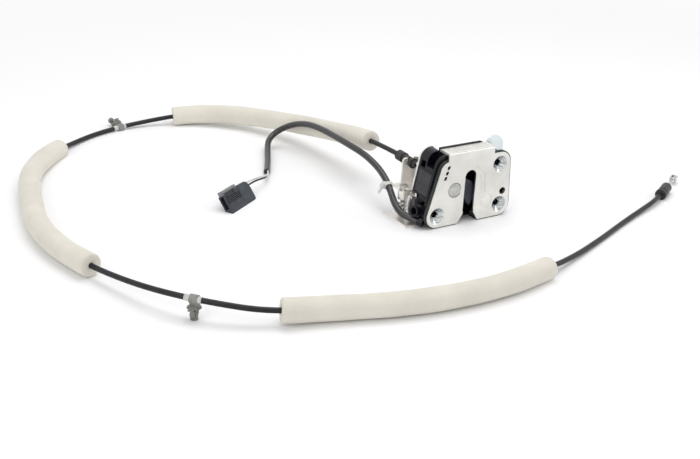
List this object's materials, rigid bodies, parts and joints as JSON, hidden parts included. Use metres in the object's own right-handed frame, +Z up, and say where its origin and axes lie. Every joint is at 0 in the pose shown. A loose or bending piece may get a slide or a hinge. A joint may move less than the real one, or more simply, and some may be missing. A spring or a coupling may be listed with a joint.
{
  "type": "latch",
  "caption": "Vehicle lid latch with a riveted claw and pawl in a black case, a coiled release cable with foam sleeves, and a switch lead with its plug.",
  "frame": {"origin": "On the face plane of the mounting plate, at the axis of the seated striker rod.", "axes": "+X runs to the right along the plate seen from its front, -Y points out of the mounting face towards the body panel, +Z runs up from the slot's open mouth to the folded top flange."},
  "size_m": [0.6737, 0.5565, 0.0842],
  "materials": {
    "plate": "zinc plated, satin",
    "seal": "matt",
    "case": "black glass-filled nylon, slight sheen",
    "zinc": "zinc plated",
    "rivet": "zinc plated",
    "bracket": "zinc plated, warm",
    "spring": "bright drawn wire",
    "dark_steel": "phosphated",
    "claw_plastic": "dark blue-grey overmould",
    "grey_plastic": "grey nylon",
    "dark_plastic": "dark nylon",
    "conduit": "black extruded sheath",
    "tube": "soft grey-black sleeving",
    "foam": "pale closed-cell foam",
    "tape": "pale tape",
    "white_plastic": "white",
    "black_wire": "black insulation",
    "plug": "blue-grey nylon",
    "brass": "tinned brass"
  },
  "bodies": {
    "housing": {"front_plate": "plate", "face_seal": "seal", "lock_case": "case", "switch_cover": "grey_plastic", "back_plate": "zinc", "rear_cover": "case", "claw_rivet": "rivet", "pawl_rivet": "rivet", "cable_bracket": "bracket", "bracket_rivets": "rivet", "lever_pin": "rivet", "harness_gland": "dark_plastic", "lever_spring": "spring", "claw_spring": "spring", "pawl_spring": "spring", "switch_body": "dark_plastic", "cable_conduit": "conduit", "harness_tube": "tube", "foam_back": "foam", "foam_left": "foam", "foam_front": "foam", "tape_back": "tape", "tape_front": "tape", "clip_back": "grey_plastic", "clip_front": "grey_plastic", "near_ferrule": "dark_plastic", "far_ferrule": "dark_plastic", "harness_boot": "tube", "cable_tie": "white_plastic", "wire_white": "white_plastic", "wire_black": "black_wire", "plug_shell": "plug", "plug_cap": "plug", "plug_latch": "plug", "plug_blades": "brass"},
    "claw": {"claw": "dark_steel", "claw_skin": "claw_plastic"},
    "pawl": {"pawl": "dark_steel"},
    "lever": {"release_lever": "bracket", "lever_blade": "dark_plastic"},
    "link": {"link_rod": "spring"},
    "pull_end": {"near_wire": "spring"},
    "far_end": {"far_wire": "spring", "end_fitting": "spring"},
    "plunger": {"switch_plunger": "grey_plastic"}
  },
  "joints": [
    {"name": "claw_turn", "type": "hinge", "parent": "housing", "child": "claw", "pos_m": [-0.0183, 0, -0.008], "axis": [0, -1, 0], "range_deg": [0, 78], "stiffness_Nm_per_rad": 0.01, "springref_deg": -34.38},
    {"name": "lever_turn", "type": "hinge", "parent": "housing", "child": "lever", "pos_m": [-0.0505, 0.04, -0.022], "axis": [0, 0, 1], "range_deg": [-12.4, 1.6]},
    {"name": "pawl_turn", "type": "hinge", "parent": "housing", "child": "pawl", "pos_m": [0.0199, 0, -0.0255], "axis": [0, 1, 0], "range_deg": [-24, 4]},
    {"name": "link_slide", "type": "slide", "parent": "housing", "child": "link", "axis": [1, 0, 0], "range_m": [-0.0038, 0.00065]},
    {"name": "wire_pull", "type": "slide", "parent": "housing", "child": "pull_end", "axis": [0, 1, 0], "range_m": [-0.0031, 0.0005]},
    {"name": "far_wire_pull", "type": "slide", "parent": "housing", "child": "far_end", "axis": [0.8572, 0.515, 0], "range_m": [-0.0031, 0.0005]},
    {"name": "plunger_press", "type": "slide", "parent": "housing", "child": "plunger", "axis": [-1, 0, 0], "range_m": [0, 0.001], "stiffness_N_per_m": 50}
  ],
  "couplings": [
    {"joint": "pawl_turn", "follows": "lever_turn", "ratio": 1.926},
    {"joint": "link_slide", "follows": "lever_turn", "m_per_rad": 0.0172},
    {"joint": "wire_pull", "follows": "lever_turn", "m_per_rad": 0.0142},
    {"joint": "far_wire_pull", "follows": "lever_turn", "m_per_rad": 0.0142}
  ]
}
